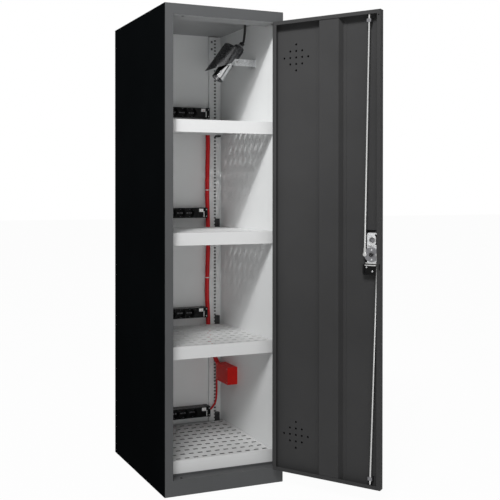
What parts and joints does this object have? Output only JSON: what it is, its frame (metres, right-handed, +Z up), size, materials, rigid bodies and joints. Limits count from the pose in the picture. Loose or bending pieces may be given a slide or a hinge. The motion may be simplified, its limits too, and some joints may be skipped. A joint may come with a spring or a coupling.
{
  "type": "battery cabinet",
  "caption": "Tall charging cabinet for batteries with one wide-open rod-locked door, perforated shelves, rear socket strips and a ceiling detector.",
  "frame": {"origin": "centre of the cabinet body's base, on the floor", "axes": "+X to the right seen from the front, +Y towards the back (the door opening faces -Y), +Z up"},
  "size_m": [0.7254, 0.9901, 1.85],
  "materials": {
    "side_coat": "satin",
    "frame_coat": "satin powder coat",
    "inner_coat": "fine-textured powder coat",
    "black_plastic": "matte",
    "black_rubber": "matte",
    "white_plastic": "gloss",
    "red_plastic": "semi-gloss",
    "red_hose": "satin",
    "bright_steel": "bright plated",
    "zinc": "zinc plated",
    "chrome": "polished",
    "hood_metal": "satin",
    "lens": "polished"
  },
  "bodies": {
    "cabinet": {"left_side_panel": "side_coat", "right_side_panel": "side_coat", "back_panel": "side_coat", "roof_panel": "side_coat", "left_stile": "frame_coat", "right_stile": "frame_coat", "top_rail": "frame_coat", "plinth": "frame_coat", "base_pan": "frame_coat", "left_lining": "inner_coat", "right_lining": "inner_coat", "rear_lining": "inner_coat", "ceiling_lining": "inner_coat", "rear_uprights": "inner_coat", "top_shelf": "inner_coat", "middle_shelf": "inner_coat", "bottom_shelf": "inner_coat", "floor_tray": "inner_coat", "shelf_clips": "black_plastic", "shelf_screws": "bright_steel", "power_strip_1": "black_plastic", "power_strip_2": "black_plastic", "power_strip_3": "black_plastic", "power_strip_4": "black_plastic", "socket_inserts": "black_plastic", "strip_end_caps": "black_plastic", "strip_plates": "white_plastic", "red_hose": "red_hose", "hose_grommet": "black_rubber", "junction_box": "red_plastic", "junction_box_lid": "red_plastic", "junction_box_screws": "bright_steel", "junction_box_glands": "red_plastic", "red_cable": "red_hose", "detector_body": "chrome", "detector_hood": "hood_metal", "detector_front_ring": "black_rubber", "detector_lens": "lens", "detector_rear_cap": "hood_metal", "detector_bracket": "zinc", "detector_screws": "bright_steel", "detector_cable": "black_rubber", "mains_gland": "black_plastic", "frame_hinge_halves": "frame_coat", "hinge_pins": "bright_steel"},
    "door": {"door_pan": "frame_coat", "vent_covers": "black_plastic", "door_stiffener": "frame_coat", "door_hinge_halves": "frame_coat", "lock_case": "zinc", "lock_backing": "black_plastic", "handle_escutcheon": "black_plastic", "lock_cylinder": "bright_steel", "rod_guides": "zinc"},
    "handle": {"turn_handle": "black_plastic", "crank_disc": "zinc"},
    "upper_rod": {"upper_lock_rod": "bright_steel"},
    "lower_rod": {"lower_lock_rod": "bright_steel"},
    "plug": {"lock_plug": "bright_steel"}
  },
  "joints": [
    {"name": "door_hinge", "type": "hinge", "parent": "cabinet", "child": "door", "pos_m": [0.217, -0.3043, 0.925], "axis": [0, 0, 1], "range_deg": [-125, 0]},
    {"name": "handle_turn", "type": "hinge", "parent": "door", "child": "handle", "pos_m": [0.43975, -0.62992, 0.915], "axis": [0.8192, 0.5736, 0], "range_deg": [0, 90]},
    {"name": "upper_rod_slide", "type": "slide", "parent": "door", "child": "upper_rod", "axis": [0.0106, -0.0152, 0.9998], "range_m": [0, 0.022]},
    {"name": "lower_rod_slide", "type": "slide", "parent": "door", "child": "lower_rod", "axis": [-0.0181, 0.0259, -0.9995], "range_m": [0, 0.022]},
    {"name": "lock_plug_turn", "type": "hinge", "parent": "door", "child": "plug", "pos_m": [0.44147, -0.63238, 0.968], "axis": [0.8192, 0.5736, 0], "range_deg": [0, 90]}
  ],
  "couplings": [
    {"joint": "handle_turn", "follows": "upper_rod_slide", "rad_per_m": 71.39},
    {"joint": "lower_rod_slide", "follows": "upper_rod_slide", "ratio": 1}
  ]
}
